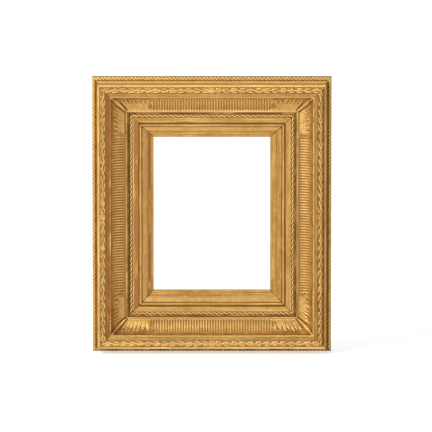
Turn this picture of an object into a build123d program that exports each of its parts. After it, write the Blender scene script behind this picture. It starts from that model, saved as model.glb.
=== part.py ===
from build123d import *
import os
from collections import namedtuple

# Gilded picture frame, empty, standing upright on its bottom edge and facing -Y.
# Three mouldings are planted on a half-lapped back frame, and cast ornament is laid on them.
# A moulding section is drawn in u and v: u runs inward from the outer edge of the frame,
# v runs forward from the back face. All sizes are in millimetres.

# Sight opening, rebate and lip
SIGHT_WIDTH = 254.0
SIGHT_HEIGHT = 336.0
REBATE_COVER = 8.0            # how far the lip covers the picture on each side
LEDGE_RISE = 4.0              # how far the rebate runs forward into the sight moulding
LIP_THICKNESS = 6.0           # wood in front of the picture at the sight edge

# Back frame
BOARD_THICKNESS = 20.0
BACK_INSET = 5.0              # boards set back from the outer side
PEG_RADIUS = 4.0
PEG_OFFSET = 28.0             # from the middle of a corner lap, along both boards

# Edge moulding, from the outer side inward
SIDE_CHAMFER = 4.0            # slope from the boards out to the outer side
OUTER_ROPE_WIDTH = 8.0
ROPE_LEDGE_RISE = 18.5        # ledge of the outer rope in front of the back boards
SCOTIA_REACH = 3.5            # how far the hollow outer side leans inward
SCOTIA_SAG = 2.5              # depth of that hollow
EDGE_FILLET_WIDTH = 5.0
EDGE_FILLET_RISE = 2.0        # fillet above the laurel seat
ARRIS_HEIGHT = 2.5            # upright edge of the fillet, above the hollow
LAUREL_WIDTH = 14.0
LAUREL_EDGE = 1.0             # upright sides of the laurel band
LAUREL_CROWN = 4.5            # bulge of the laurel band above its sides
LAUREL_QUIRK = 1.0            # open groove between laurel and ridge
RIDGE_STEP_RISE = 1.0         # foot of the ridge slope above the laurel seat
RIDGE_SLOPE_WIDTH = 4.5       # part of the slope that belongs to the edge moulding
RIDGE_FALL = 6.0              # fall of the whole slope towards the cove

# Cove moulding and its lining
COVE_RIM_WIDTH = 2.0          # end of the ridge slope, beside the lining
LINING_THICKNESS = 2.5
COVE_RADIUS = 32.0            # visible surface of the lining
COVE_FILLET_WIDTH = 4.0
FLUTE_PITCH = 5.86
FLUTE_WIDTH = 4.4
FLUTE_DEPTH = 1.3
LEAF_REACH = 58.5             # corner leaf along each rail, past the inner end of the cove
LEAF_THICKNESS = 4.0
LEAF_RIB_THICKNESS = 7.0
LEAF_RIB_WIDTH = 9.0

# Sight moulding, from the inner rope to the sight edge
ROPE_QUIRK = 4.5              # deep groove between the cove fillet and the inner rope
INNER_ROPE_WIDTH = 6.5
INNER_ROPE_SINK = 6.0         # ledge of the inner rope below the frieze
FRIEZE_WIDTH = 12.0
FRIEZE_FALL = 1.0
FRIEZE_RISE = 4.0             # frieze above the foot of the bead
GROOVE_WIDTH = 2.0
BEAD_RADIUS = 3.0
BEAD_QUIRK_WIDTH = 1.5
BEAD_QUIRK_DEPTH = 1.5
FASCIA_WIDTH = 8.5
FASCIA_FALL = 5.5
HOLLOW_RADIUS = 9.5
LIP_STEP = 1.5
LIP_WIDTH = 6.0

# Nails from the back boards into the mouldings
NAIL_LENGTH = 40.0
NAIL_RADIUS = 1.3
NAIL_HEAD_RADIUS = 3.0
NAIL_HEAD_THICKNESS = 1.2
NAIL_SPACING = 150.0

# Screws of the turn buttons and the hangers
SCREW_RADIUS = 1.75
SCREW_DEPTH = 14.0
SCREW_HEAD_RADIUS = 3.6
SCREW_HEAD_HEIGHT = 2.2
SCREW_HEAD_CHAMFER = 0.8
SCREW_SLOT_WIDTH = 0.9
SCREW_SLOT_DEPTH = 1.0
SCREW_HOLE_CLEARANCE = 0.1

# Turn buttons
BUTTON_LENGTH = 38.0
BUTTON_WIDTH = 11.0
BUTTON_THICKNESS = 2.0
BUTTON_SETBACK = 12.0         # pivot behind the edge of the rebate
BUTTON_GAP = 0.2              # play under and over a button

# Hanger straps and rings
HANGER_DROP = 190.0           # below the top of the frame
HANGER_SETBACK = 40.0         # axis of the ring behind the edge of the rebate
STRAP_LENGTH = 38.0
STRAP_WIDTH = 12.0
STRAP_THICKNESS = 1.2
STRAP_SCREW_INSET = 8.0       # from the free end of the strap
STRAP_SCREW_PITCH = 14.0
LOOP_WALL = 1.4
RING_WIRE_RADIUS = 1.5
RING_CLEARANCE = 0.1          # between the wire and the loop that carries it
RING_HALF_WIDTH = 9.0         # to the centre of the wire
RING_LEG = 6.0

CUT_MARGIN = 1.0              # how far cutting shapes run past what they cut

# Places across the section
U_SCOTIA = OUTER_ROPE_WIDTH
U_ARRIS = U_SCOTIA + SCOTIA_REACH
U_LAUREL = U_ARRIS + EDGE_FILLET_WIDTH
U_LAUREL_END = U_LAUREL + LAUREL_WIDTH
U_RIDGE_STEP = U_LAUREL_END + LAUREL_QUIRK
U_RIM = U_RIDGE_STEP + RIDGE_SLOPE_WIDTH
U_LINING = U_RIM + COVE_RIM_WIDTH
U_COVE = U_LINING + LINING_THICKNESS
U_COVE_END = U_COVE + COVE_RADIUS
U_QUIRK = U_COVE_END + COVE_FILLET_WIDTH
U_INNER_ROPE = U_QUIRK + ROPE_QUIRK
U_FRIEZE = U_INNER_ROPE + INNER_ROPE_WIDTH
U_GROOVE = U_FRIEZE + FRIEZE_WIDTH
U_BEAD = U_GROOVE + GROOVE_WIDTH
U_BEAD_END = U_BEAD + 2 * BEAD_RADIUS
U_FASCIA = U_BEAD_END + BEAD_QUIRK_WIDTH
U_HOLLOW = U_FASCIA + FASCIA_WIDTH
U_LIP = U_HOLLOW + HOLLOW_RADIUS
U_SIGHT = U_LIP + LIP_WIDTH
U_REBATE = U_SIGHT - REBATE_COVER

# Places through the depth
V_BOARD = BOARD_THICKNESS
V_LAP = BOARD_THICKNESS / 2
V_LEDGE = V_BOARD + LEDGE_RISE
V_LIP = V_LEDGE + LIP_THICKNESS
V_HOLLOW = V_LIP + LIP_STEP
V_FASCIA_LOW = V_HOLLOW + HOLLOW_RADIUS
V_FASCIA = V_FASCIA_LOW + FASCIA_FALL
V_BEAD = V_FASCIA + BEAD_QUIRK_DEPTH
V_FRIEZE = V_BEAD + FRIEZE_RISE
V_INNER_ROPE = V_FRIEZE - INNER_ROPE_SINK
V_COVE_LOW = V_FRIEZE
V_RIDGE = V_COVE_LOW + COVE_RADIUS
V_RIM = V_RIDGE + RIDGE_FALL * COVE_RIM_WIDTH / (RIDGE_SLOPE_WIDTH + COVE_RIM_WIDTH)
V_RIDGE_STEP = V_RIDGE + RIDGE_FALL
V_LAUREL = V_RIDGE_STEP - RIDGE_STEP_RISE
V_EDGE_FILLET = V_LAUREL + EDGE_FILLET_RISE
V_OUTER_ROPE = V_BOARD + ROPE_LEDGE_RISE
V_FRONT = max(V_RIDGE, V_LAUREL + LAUREL_EDGE + LAUREL_CROWN)

# Overall size and the place of the back face
OUTER_WIDTH = SIGHT_WIDTH + 2 * U_SIGHT
OUTER_HEIGHT = SIGHT_HEIGHT + 2 * U_SIGHT
LOOP_BORE = RING_WIRE_RADIUS + RING_CLEARANCE
LOOP_RADIUS = LOOP_BORE + LOOP_WALL
BUTTON_SEAT = BUTTON_THICKNESS + 2 * BUTTON_GAP
V_HARDWARE = max(2 * LOOP_RADIUS, BUTTON_SEAT + SCREW_HEAD_HEIGHT)
BACK_Y = (V_FRONT - V_HARDWARE) / 2
CENTRE_Z = OUTER_HEIGHT / 2

# Each side is built as the bottom one, about the middle of the frame, and turned into its place.
# run is its outer length, and reach the distance from the middle to its outer edge.
Side = namedtuple("Side", "turn run reach upright")
SIDES = {
    "bottom": Side(0, OUTER_WIDTH, OUTER_HEIGHT / 2, False),
    "left": Side(90, OUTER_HEIGHT, OUTER_WIDTH / 2, True),
    "top": Side(180, OUTER_WIDTH, OUTER_HEIGHT / 2, False),
    "right": Side(270, OUTER_HEIGHT, OUTER_WIDTH / 2, True),
}
# Each corner lies between one side's near end, at negative x, and the next side's far end.
CORNERS = {
    "bottom_left": ("bottom", "left"),
    "top_left": ("left", "top"),
    "top_right": ("top", "right"),
    "bottom_right": ("right", "bottom"),
}


def place(shape, side):
    """Turn a shape built on the bottom side to its own side, and stand the frame on Z = 0."""
    return Pos(0, 0, CENTRE_Z) * Rot(0, side.turn, 0) * shape


def at(side, x, u, v=0.0):
    """A plane on the back of a side whose own x, y and z run along the side, inward and forward."""
    return Plane(origin=(x, BACK_Y - v, u - side.reach), x_dir=(1, 0, 0), z_dir=(0, -1, 0))


def bar(face, side, length):
    """A section drawn in u and v, drawn out along its side, centred."""
    section_plane = Plane(origin=(0, BACK_Y, -side.reach), x_dir=(0, 0, 1), z_dir=(1, 0, 0))
    return extrude(section_plane * face, amount=length / 2, both=True)


def plan_prism(side, points):
    """A prism through the whole depth over an outline of (x, u) points."""
    outline = make_face(Polyline(*points, close=True))
    depth = V_FRONT + V_HARDWARE + 2 * CUT_MARGIN
    return extrude(at(side, 0, 0, -V_HARDWARE - CUT_MARGIN) * outline, amount=depth)


def mitred(face, side):
    """A section drawn out along its side, with both ends cut to the corner mitres."""
    outer = side.run / 2
    inner = outer - U_SIGHT
    wedge = plan_prism(side, [(-outer, 0), (outer, 0), (inner, U_SIGHT), (-inner, U_SIGHT)])
    return bar(face, side, side.run) & wedge


def lining_face(inner_radius):
    """A quarter ring on the wood of the cove, from the ridge down to the cove fillet."""
    centre = (U_COVE_END, V_RIDGE)
    wood_radius = COVE_RADIUS + LINING_THICKNESS
    return make_face([
        CenterArc(centre, wood_radius, 180, 90),
        Line((U_COVE_END, V_RIDGE - wood_radius), (U_COVE_END, V_RIDGE - inner_radius)),
        CenterArc(centre, inner_radius, 180, 90),
        Line((U_COVE_END - inner_radius, V_RIDGE), (U_LINING, V_RIDGE)),
    ])


def half_round_face(u, v, width):
    """A rope strip's section: straight sides on a flat foot, under a half circle."""
    radius = width / 2
    shoulder = v + radius
    return make_face([
        Polyline((u, shoulder), (u, v), (u + width, v), (u + width, shoulder)),
        ThreePointArc((u + width, shoulder), (u + radius, shoulder + radius), (u, shoulder)),
    ])


def edge_moulding_face():
    """Outer side, rope ledge, hollow, fillet, laurel seat and ridge slope."""
    hollow_start = (U_SCOTIA, V_OUTER_ROPE + OUTER_ROPE_WIDTH)
    hollow_end = (U_ARRIS, V_EDGE_FILLET - ARRIS_HEIGHT)
    hollow_middle = (
        (hollow_start[0] + hollow_end[0]) / 2 + SCOTIA_SAG,
        (hollow_start[1] + hollow_end[1]) / 2,
    )
    return make_face([
        Polyline(
            (BACK_INSET, V_BOARD),
            (0, V_BOARD + SIDE_CHAMFER),
            (0, V_OUTER_ROPE),
            (U_SCOTIA, V_OUTER_ROPE),
            hollow_start,
        ),
        ThreePointArc(hollow_start, hollow_middle, hollow_end),
        Polyline(
            hollow_end,
            (U_ARRIS, V_EDGE_FILLET),
            (U_LAUREL, V_EDGE_FILLET),
            (U_LAUREL, V_LAUREL),
            (U_RIDGE_STEP, V_LAUREL),
            (U_RIDGE_STEP, V_RIDGE_STEP),
            (U_RIM, V_RIM),
            (U_RIM, V_BOARD),
            (BACK_INSET, V_BOARD),
        ),
    ])


def cove_moulding_face():
    """End of the ridge slope, the wood of the cove under its lining, and the cove fillet."""
    wood_radius = COVE_RADIUS + LINING_THICKNESS
    wood_low = V_RIDGE - wood_radius
    return make_face([
        Polyline((U_RIM, V_BOARD), (U_RIM, V_RIM), (U_LINING, V_RIDGE)),
        CenterArc((U_COVE_END, V_RIDGE), wood_radius, 180, 90),
        Polyline(
            (U_COVE_END, wood_low),
            (U_COVE_END, V_COVE_LOW),
            (U_QUIRK, V_COVE_LOW),
            (U_QUIRK, V_BOARD),
            (U_RIM, V_BOARD),
        ),
    ])


def sight_moulding_face():
    """Inner rope ledge, frieze, groove, bead, fascia, hollow, lip and rebate ledge."""
    return make_face([
        Polyline(
            (U_QUIRK, V_BOARD),
            (U_QUIRK, V_INNER_ROPE),
            (U_FRIEZE, V_INNER_ROPE),
            (U_FRIEZE, V_FRIEZE),
            (U_GROOVE, V_FRIEZE - FRIEZE_FALL),
            (U_GROOVE, V_BEAD),
            (U_BEAD, V_BEAD),
        ),
        ThreePointArc(
            (U_BEAD, V_BEAD), (U_BEAD + BEAD_RADIUS, V_BEAD + BEAD_RADIUS), (U_BEAD_END, V_BEAD)
        ),
        Polyline(
            (U_BEAD_END, V_BEAD),
            (U_BEAD_END, V_FASCIA - BEAD_QUIRK_DEPTH),
            (U_FASCIA, V_FASCIA - BEAD_QUIRK_DEPTH),
            (U_FASCIA, V_FASCIA),
            (U_HOLLOW, V_FASCIA_LOW),
        ),
        CenterArc((U_LIP, V_FASCIA_LOW), HOLLOW_RADIUS, 180, 90),
        Polyline(
            (U_LIP, V_HOLLOW),
            (U_LIP, V_LIP),
            (U_SIGHT, V_LIP),
            (U_SIGHT, V_LEDGE),
            (U_REBATE, V_LEDGE),
            (U_REBATE, V_BOARD),
            (U_QUIRK, V_BOARD),
        ),
    ])


def laurel_face():
    """A low cushion on the laurel seat."""
    shoulder = V_LAUREL + LAUREL_EDGE
    crown = (U_LAUREL + LAUREL_WIDTH / 2, shoulder + LAUREL_CROWN)
    return make_face([
        Polyline(
            (U_LAUREL, shoulder), (U_LAUREL, V_LAUREL), (U_LAUREL_END, V_LAUREL), (U_LAUREL_END, shoulder)
        ),
        ThreePointArc((U_LAUREL_END, shoulder), crown, (U_LAUREL, shoulder)),
    ])


def flute_field(side):
    """Length of the fluted part of a side, between its two corner leaves."""
    return side.run - 2 * (U_COVE_END + LEAF_REACH)


def flute_strip(side):
    """The cove's lining between two corner leaves, with round flutes across it."""
    field = flute_field(side)
    count = max(1, round(field / FLUTE_PITCH))
    pitch = field / count
    flute_radius = (FLUTE_WIDTH**2 / 4 + FLUTE_DEPTH**2) / (2 * FLUTE_DEPTH)
    ring = Torus(COVE_RADIUS + FLUTE_DEPTH - flute_radius, flute_radius)
    flutes = []
    for index in range(count):
        x = (index + 0.5) * pitch - field / 2
        middle = (x, BACK_Y - V_RIDGE, U_COVE_END - side.reach)
        flutes.append(Plane(origin=middle, z_dir=(1, 0, 0)) * ring)
    return bar(lining_face(COVE_RADIUS), side, field) - flutes


def leaf_arm(side, end, thickness):
    """One arm of a corner leaf: end is -1 for the side's near end and 1 for its far end."""
    outer = end * side.run / 2
    mitre_end = outer - end * U_COVE_END
    stop = end * flute_field(side) / 2
    inner_radius = COVE_RADIUS + LINING_THICKNESS - thickness
    outline = [(outer, 0), (mitre_end, U_COVE_END), (stop, U_COVE_END), (stop, 0)]
    return bar(lining_face(inner_radius), side, side.run) & plan_prism(side, outline)


def corner_leaf(near_side, far_side):
    """Two arms that meet on the mitre, under a pointed rib that follows it down the cove."""
    def both_arms(thickness):
        near = place(leaf_arm(near_side, -1, thickness), near_side)
        far = place(leaf_arm(far_side, 1, thickness), far_side)
        return near + far

    corner = -near_side.run / 2
    tip = (corner + U_COVE, U_COVE)
    foot = (corner + U_COVE_END, U_COVE_END)
    lens = make_face([
        SagittaArc(tip, foot, LEAF_RIB_WIDTH / 2),
        SagittaArc(foot, tip, LEAF_RIB_WIDTH / 2),
    ])
    spindle = extrude(at(near_side, 0, 0) * lens, amount=V_RIDGE)
    return both_arms(LEAF_THICKNESS) + (both_arms(LEAF_RIB_THICKNESS) & place(spindle, near_side))


def corner_pegs(near_side):
    """Two pegs through the lap at a side's near end."""
    pegs = []
    lap_middle = (BACK_INSET + U_REBATE) / 2
    for step in (-PEG_OFFSET, PEG_OFFSET):
        spot = at(near_side, lap_middle + step - near_side.run / 2, lap_middle - step)
        pin = Cylinder(PEG_RADIUS, BOARD_THICKNESS, align=(Align.CENTER, Align.CENTER, Align.MIN))
        pegs.append(place(spot * pin, near_side))
    return pegs


def moulding_nails(side):
    """Nails from the back of a board into each moulding in front of it, heads flush."""
    upward = (Align.CENTER, Align.CENTER, Align.MIN)
    nail = Cylinder(NAIL_RADIUS, NAIL_LENGTH, align=upward)
    nail += Cylinder(NAIL_HEAD_RADIUS, NAIL_HEAD_THICKNESS, align=upward)
    rows = [U_RIM / 2, (U_RIM + U_QUIRK) / 2, (U_FRIEZE + U_GROOVE) / 2]
    spots = [at(side, x, u) for u in rows for x in (-NAIL_SPACING / 2, NAIL_SPACING / 2)]
    return [place(spot * nail, side) for spot in spots]


def screw(seat):
    """A slotted screw whose head sits seat behind the board and whose shank runs into it."""
    shank_length = seat + SCREW_DEPTH
    shank = Pos(0, 0, -seat) * Cylinder(
        SCREW_RADIUS, shank_length, align=(Align.CENTER, Align.CENTER, Align.MIN)
    )
    head = Cylinder(SCREW_HEAD_RADIUS, SCREW_HEAD_HEIGHT, align=(Align.CENTER, Align.CENTER, Align.MAX))
    head = chamfer(head.faces().sort_by(Axis.Z)[0].edges(), SCREW_HEAD_CHAMFER)
    slot = Pos(0, 0, -SCREW_HEAD_HEIGHT) * Box(
        2 * SCREW_HEAD_RADIUS, SCREW_SLOT_WIDTH, 2 * SCREW_SLOT_DEPTH
    )
    return shank + Pos(0, 0, -seat) * (head - slot)


def button_spot(side):
    """Where a turn button's pivot meets the board: the middle of the side, behind the rebate."""
    return at(side, 0, U_REBATE - BUTTON_SETBACK)


def turn_button(side):
    """A plate with round ends that turns on a screw near one end. Upright ones hang down."""
    hangs = -1 if side.turn > 180 else 1
    span = BUTTON_LENGTH - BUTTON_WIDTH
    outline = Pos(hangs * span / 2, 0) * SlotCenterToCenter(span, BUTTON_WIDTH)
    outline -= Circle(SCREW_RADIUS + SCREW_HOLE_CLEARANCE)
    plate = Pos(0, 0, -BUTTON_GAP) * extrude(outline, amount=-BUTTON_THICKNESS)
    return place(button_spot(side) * plate, side)


def button_screw(side):
    return place(button_spot(side) * screw(BUTTON_SEAT), side)


def hanger_spot(side):
    """Where a hanger's ring axis crosses the board, with its x along the axis."""
    rise = OUTER_HEIGHT / 2 - HANGER_DROP
    along = rise if side.turn > 180 else -rise
    return at(side, along, U_REBATE - HANGER_SETBACK)


def strap_screw_places():
    first = -STRAP_LENGTH + STRAP_SCREW_INSET
    return [first, first + STRAP_SCREW_PITCH]


def hanger_strap(side):
    """A strap along the board that ends in a loop round the ring's wire."""
    lying = Rot(0, 90, 0)
    plate = Pos(0, -STRAP_LENGTH / 2, -STRAP_THICKNESS / 2) * Box(
        STRAP_WIDTH, STRAP_LENGTH, STRAP_THICKNESS
    )
    loop_middle = Pos(0, 0, -LOOP_RADIUS)
    strap = plate + loop_middle * lying * Cylinder(LOOP_RADIUS, STRAP_WIDTH)
    strap -= loop_middle * lying * Cylinder(LOOP_BORE, STRAP_WIDTH + 2 * CUT_MARGIN)
    for place_along in strap_screw_places():
        strap -= Pos(0, place_along, 0) * Cylinder(
            SCREW_RADIUS + SCREW_HOLE_CLEARANCE, 2 * STRAP_THICKNESS + CUT_MARGIN
        )
    return place(hanger_spot(side) * strap, side)


def hanger_ring(side):
    """A D-shaped wire ring: its straight bar turns in the loop and its bow points inward."""
    bow = Pos(0, RING_LEG, 0) * Torus(RING_HALF_WIDTH, RING_WIRE_RADIUS, major_angle=180, align=None)
    ring = bow + Rot(0, 90, 0) * Cylinder(RING_WIRE_RADIUS, 2 * RING_HALF_WIDTH)
    for edge in (-RING_HALF_WIDTH, RING_HALF_WIDTH):
        ring += Pos(edge, RING_LEG / 2, 0) * Rot(90, 0, 0) * Cylinder(RING_WIRE_RADIUS, RING_LEG)
        ring += Pos(edge, 0, 0) * Sphere(RING_WIRE_RADIUS)
    return place(hanger_spot(side) * Pos(0, 0, -LOOP_RADIUS) * ring, side)


def hanger_screws(side):
    spots = [hanger_spot(side) * Pos(0, along, 0) for along in strap_screw_places()]
    return [place(spot * screw(STRAP_THICKNESS), side) for spot in spots]


def back_board(side, fasteners):
    """A flat board from corner to corner, halved at both ends to lap its neighbours."""
    middle = (Align.CENTER, Align.MIN, Align.MIN)
    length = side.run - 2 * BACK_INSET
    width = U_REBATE - BACK_INSET
    board = at(side, 0, BACK_INSET) * Box(length, width, BOARD_THICKNESS, align=middle)
    lap_start = 0 if side.upright else V_LAP
    for end in (-1, 1):
        lap = Box(width, width, BOARD_THICKNESS - V_LAP, align=middle)
        board -= at(side, end * (length - width) / 2, BACK_INSET, lap_start) * lap
    return place(board, side) - fasteners


os.makedirs("parts", exist_ok=True)

pegs = [peg for near, far in CORNERS.values() for peg in corner_pegs(SIDES[near])]
nails = [nail for side in SIDES.values() for nail in moulding_nails(side)]
button_screws = [button_screw(side) for side in SIDES.values()]
hung_sides = {name: side for name, side in SIDES.items() if side.upright}
strap_screws = [item for side in hung_sides.values() for item in hanger_screws(side)]

for name, side in SIDES.items():
    own_nails = moulding_nails(side)
    own_screws = [button_screw(side)] + (hanger_screws(side) if side.upright else [])
    export_step(back_board(side, pegs + own_nails + own_screws), f"parts/back_board_{name}.step")
    mouldings = {
        "edge_moulding": edge_moulding_face(),
        "cove_moulding": cove_moulding_face(),
        "sight_moulding": sight_moulding_face(),
    }
    for node, face in mouldings.items():
        export_step(place(mitred(face, side), side) - own_nails, f"parts/{node}_{name}.step")
    strips = {
        "outer_rope": half_round_face(0, V_OUTER_ROPE, OUTER_ROPE_WIDTH),
        "laurel_band": laurel_face(),
        "inner_rope": half_round_face(U_INNER_ROPE, V_INNER_ROPE, INNER_ROPE_WIDTH),
    }
    for node, face in strips.items():
        export_step(place(mitred(face, side), side), f"parts/{node}_{name}.step")
    export_step(place(flute_strip(side), side), f"parts/flute_strip_{name}.step")
    export_step(turn_button(side), f"parts/turn_button_{name}.step")

for name, (near, far) in CORNERS.items():
    export_step(corner_leaf(SIDES[near], SIDES[far]), f"parts/corner_leaf_{name}.step")

for name, side in hung_sides.items():
    export_step(hanger_strap(side), f"parts/hanger_strap_{name}.step")
    export_step(hanger_ring(side), f"parts/hanger_ring_{name}.step")

export_step(Compound(pegs), "parts/corner_pegs.step")
export_step(Compound(nails), "parts/moulding_nails.step")
export_step(Compound(button_screws), "parts/turn_button_screws.step")
export_step(Compound(strap_screws), "parts/hanger_screws.step")
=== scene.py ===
import math
from collections import namedtuple

import bpy
import numpy as np
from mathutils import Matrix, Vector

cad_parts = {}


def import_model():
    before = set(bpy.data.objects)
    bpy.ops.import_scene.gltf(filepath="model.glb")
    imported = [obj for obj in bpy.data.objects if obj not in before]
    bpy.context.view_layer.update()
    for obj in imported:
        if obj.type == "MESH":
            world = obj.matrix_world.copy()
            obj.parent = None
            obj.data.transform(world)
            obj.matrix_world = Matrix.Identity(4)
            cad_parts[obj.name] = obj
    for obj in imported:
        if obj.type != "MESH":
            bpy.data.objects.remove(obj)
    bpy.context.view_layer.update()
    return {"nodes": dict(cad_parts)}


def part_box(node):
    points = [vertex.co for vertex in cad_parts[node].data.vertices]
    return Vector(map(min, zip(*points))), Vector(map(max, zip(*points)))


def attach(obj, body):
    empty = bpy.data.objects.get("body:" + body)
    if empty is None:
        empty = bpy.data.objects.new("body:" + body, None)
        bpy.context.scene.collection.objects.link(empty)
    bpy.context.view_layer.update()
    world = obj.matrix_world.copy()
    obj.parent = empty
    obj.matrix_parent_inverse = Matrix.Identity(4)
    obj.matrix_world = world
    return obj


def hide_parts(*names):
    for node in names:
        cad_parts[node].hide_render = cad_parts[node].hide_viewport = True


# Looks of the gilded frame: carved mouldings, cast ornament, gilding, studio and camera.
# Sizes are in millimetres until a mesh is made. u runs inward from the outer edge of the frame
# and v runs forward from the back face of its boards, as in the sections of the solids.

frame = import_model()

MM = 0.001

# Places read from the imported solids. On the bottom side the height of a point is its u.
BACK_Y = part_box("back_board_bottom")[1].y / MM
WIDTH = (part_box("edge_moulding_bottom")[1].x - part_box("edge_moulding_bottom")[0].x) / MM
HEIGHT = (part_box("edge_moulding_left")[1].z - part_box("edge_moulding_left")[0].z) / MM


def across(node):
    """Where a node of the bottom side starts and ends in u."""
    low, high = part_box(node)
    return low.z / MM, high.z / MM


def through(node):
    """Where a node of the bottom side starts and ends in v."""
    low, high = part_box(node)
    return BACK_Y - high.y / MM, BACK_Y - low.y / MM


U_ROPE, U_SCOTIA = across("outer_rope_bottom")
V_ROPE, V_SCOTIA = through("outer_rope_bottom")
U_LAUREL, U_LAUREL_END = across("laurel_band_bottom")
V_LAUREL, V_LAUREL_TOP = through("laurel_band_bottom")
U_RIM, U_QUIRK = across("cove_moulding_bottom")
V_BOARD, V_RIM = through("cove_moulding_bottom")
U_LINING, U_COVE_END = across("flute_strip_bottom")
V_RIDGE = through("flute_strip_bottom")[1]
BACK_INSET = across("back_board_bottom")[0]
U_INNER_ROPE, U_FRIEZE = across("inner_rope_bottom")
V_INNER_ROPE, V_INNER_ROPE_TOP = through("inner_rope_bottom")
U_SIGHT = across("sight_moulding_bottom")[1]
FLUTE_FIELD = {
    "bottom": (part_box("flute_strip_bottom")[1].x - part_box("flute_strip_bottom")[0].x) / MM,
    "left": (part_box("flute_strip_left")[1].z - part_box("flute_strip_left")[0].z) / MM,
}

# Edge moulding
SIDE_CHAMFER = 4.0
U_ARRIS = U_SCOTIA + 3.5
V_EDGE_FILLET = V_LAUREL + 2.0
V_ARRIS = V_EDGE_FILLET - 2.5
SCOTIA_SAG = 2.5
U_RIDGE_STEP = U_LAUREL_END + 1.0
V_RIDGE_STEP = V_LAUREL + 1.0

# Cove and its lining
WOOD_RADIUS = U_COVE_END - U_LINING
LINING_THICKNESS = 2.5
COVE_RADIUS = WOOD_RADIUS - LINING_THICKNESS
V_COVE_LOW = V_RIDGE - COVE_RADIUS

# Sight moulding
V_FRIEZE = V_COVE_LOW
FRIEZE_FALL = 1.0             # how much lower the frieze ends than it starts
U_GROOVE = U_FRIEZE + 12.0
U_BEAD = U_GROOVE + 2.0
BEAD_RADIUS = 3.0
V_BEAD = V_FRIEZE - 4.0
BEAD_STEP = 1.5               # width of the step after the bead, and its depth under the fascia
U_FASCIA = U_BEAD + 2 * BEAD_RADIUS + BEAD_STEP
V_FASCIA = V_BEAD - BEAD_STEP
V_FASCIA_LOW = V_FASCIA - 5.5
U_LIP = U_SIGHT - 6.0
HOLLOW_RADIUS = 9.5
U_HOLLOW = U_LIP - HOLLOW_RADIUS
V_LIP = V_BOARD + 10.0
V_LEDGE = V_BOARD + 4.0
U_REBATE = U_SIGHT - 8.0

MITRE_GAP = 0.15              # half of the open joint between two mitred lengths
MITRE_STAIN = 0.8             # reach of the dirt on each side of that joint

# A side is drawn as the bottom one and turned about the middle of the frame, by its turn in degrees.
# run is its outer length, and reach is how far that outer edge lies from the middle.
Side = namedtuple("Side", "name run reach turn")
SIDES = [
    Side("bottom", WIDTH, HEIGHT / 2, 0),
    Side("left", HEIGHT, WIDTH / 2, 90),
    Side("top", WIDTH, HEIGHT / 2, 180),
    Side("right", HEIGHT, WIDTH / 2, 270),
]
CORNERS = [
    ("bottom_left", SIDES[0], SIDES[1]),
    ("top_left", SIDES[1], SIDES[2]),
    ("top_right", SIDES[2], SIDES[3]),
    ("bottom_right", SIDES[3], SIDES[0]),
]


# Mesh tools

FINE_SPAN = 2                 # points to each side that fine relief is measured over
WIDE_SPAN = 5                 # and those for wide relief
WIDE_SHARE = 0.4
SHARP_ANGLE = 62


def world(side, x, u, v):
    """Points of a side, in metres, from millimetres along it, across it and through it."""
    turn = math.radians(side.turn)
    inward = u - side.reach
    return MM * np.stack([
        x * math.cos(turn) + inward * math.sin(turn),
        BACK_Y - v,
        HEIGHT / 2 - x * math.sin(turn) + inward * math.cos(turn),
    ], axis=-1)


def running_mean(points, span, axis, loop):
    """Mean of each point and its neighbours up to span places away along an axis."""
    pad = [(0, 0)] * points.ndim
    pad[axis] = (span, span)
    padded = np.pad(points, pad, mode="wrap" if loop else "edge")
    count = points.shape[axis]
    total = sum(np.take(padded, range(k, k + count), axis=axis) for k in range(2 * span + 1))
    return total / (2 * span + 1)


def relief_of(points, normals, span):
    """How far each point stands above its surroundings along its normal, in millimetres."""
    mean = running_mean(running_mean(points, span, 1, True), span, 0, False)
    return np.sum((points - mean) * normals, axis=-1) / MM


def grid_normals(points):
    """Unit normals of a grid of closed loops; they point out or in with the way the loops run."""
    around = np.roll(points, -1, axis=1) - np.roll(points, 1, axis=1)
    along = np.gradient(points, axis=0)
    normals = np.cross(around, along)
    length = np.linalg.norm(normals, axis=-1, keepdims=True)
    return normals / np.maximum(length, 1e-12)


def closed_mesh(name, points, amounts):
    """A closed mesh from rows of closed loops, with its relief and other amounts on its points."""
    rows, columns = points.shape[:2]
    index = np.arange(rows * columns).reshape(rows, columns)
    after = np.roll(index, -1, axis=1)
    quads = np.stack([index[:-1], after[:-1], after[1:], index[1:]], axis=-1).reshape(-1, 4)
    caps = [index[0][::-1], index[-1]]
    flat = points.reshape(-1, 3)
    middle = flat.mean(axis=0)
    a, b, c, d = (flat[quads[:, k]] - middle for k in range(4))
    volume = np.sum(a * np.cross(b, c)) + np.sum(a * np.cross(c, d))
    # A negative volume means that the faces and the normals of these loops both point inward.
    outward = 1.0 if volume > 0 else -1.0
    if volume < 0:
        quads = quads[:, ::-1]
        caps = [cap[::-1] for cap in caps]
    normals = grid_normals(points)
    fine = relief_of(points, normals, FINE_SPAN)
    wide = relief_of(points, normals, WIDE_SPAN)
    relief = outward * (fine + WIDE_SHARE * wide)

    mesh = bpy.data.meshes.new(name)
    mesh.from_pydata(flat.tolist(), [], quads.tolist() + [cap.tolist() for cap in caps])
    for label, values in {"relief": relief, **amounts}.items():
        layer = mesh.attributes.new(label, "FLOAT", "POINT")
        spread = np.broadcast_to(values, (rows, columns)).astype(np.float32)
        layer.data.foreach_set("value", spread.ravel())
    mesh.shade_smooth()
    mesh.set_sharp_from_angle(angle=math.radians(SHARP_ANGLE))
    mesh.update()
    return mesh


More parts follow.
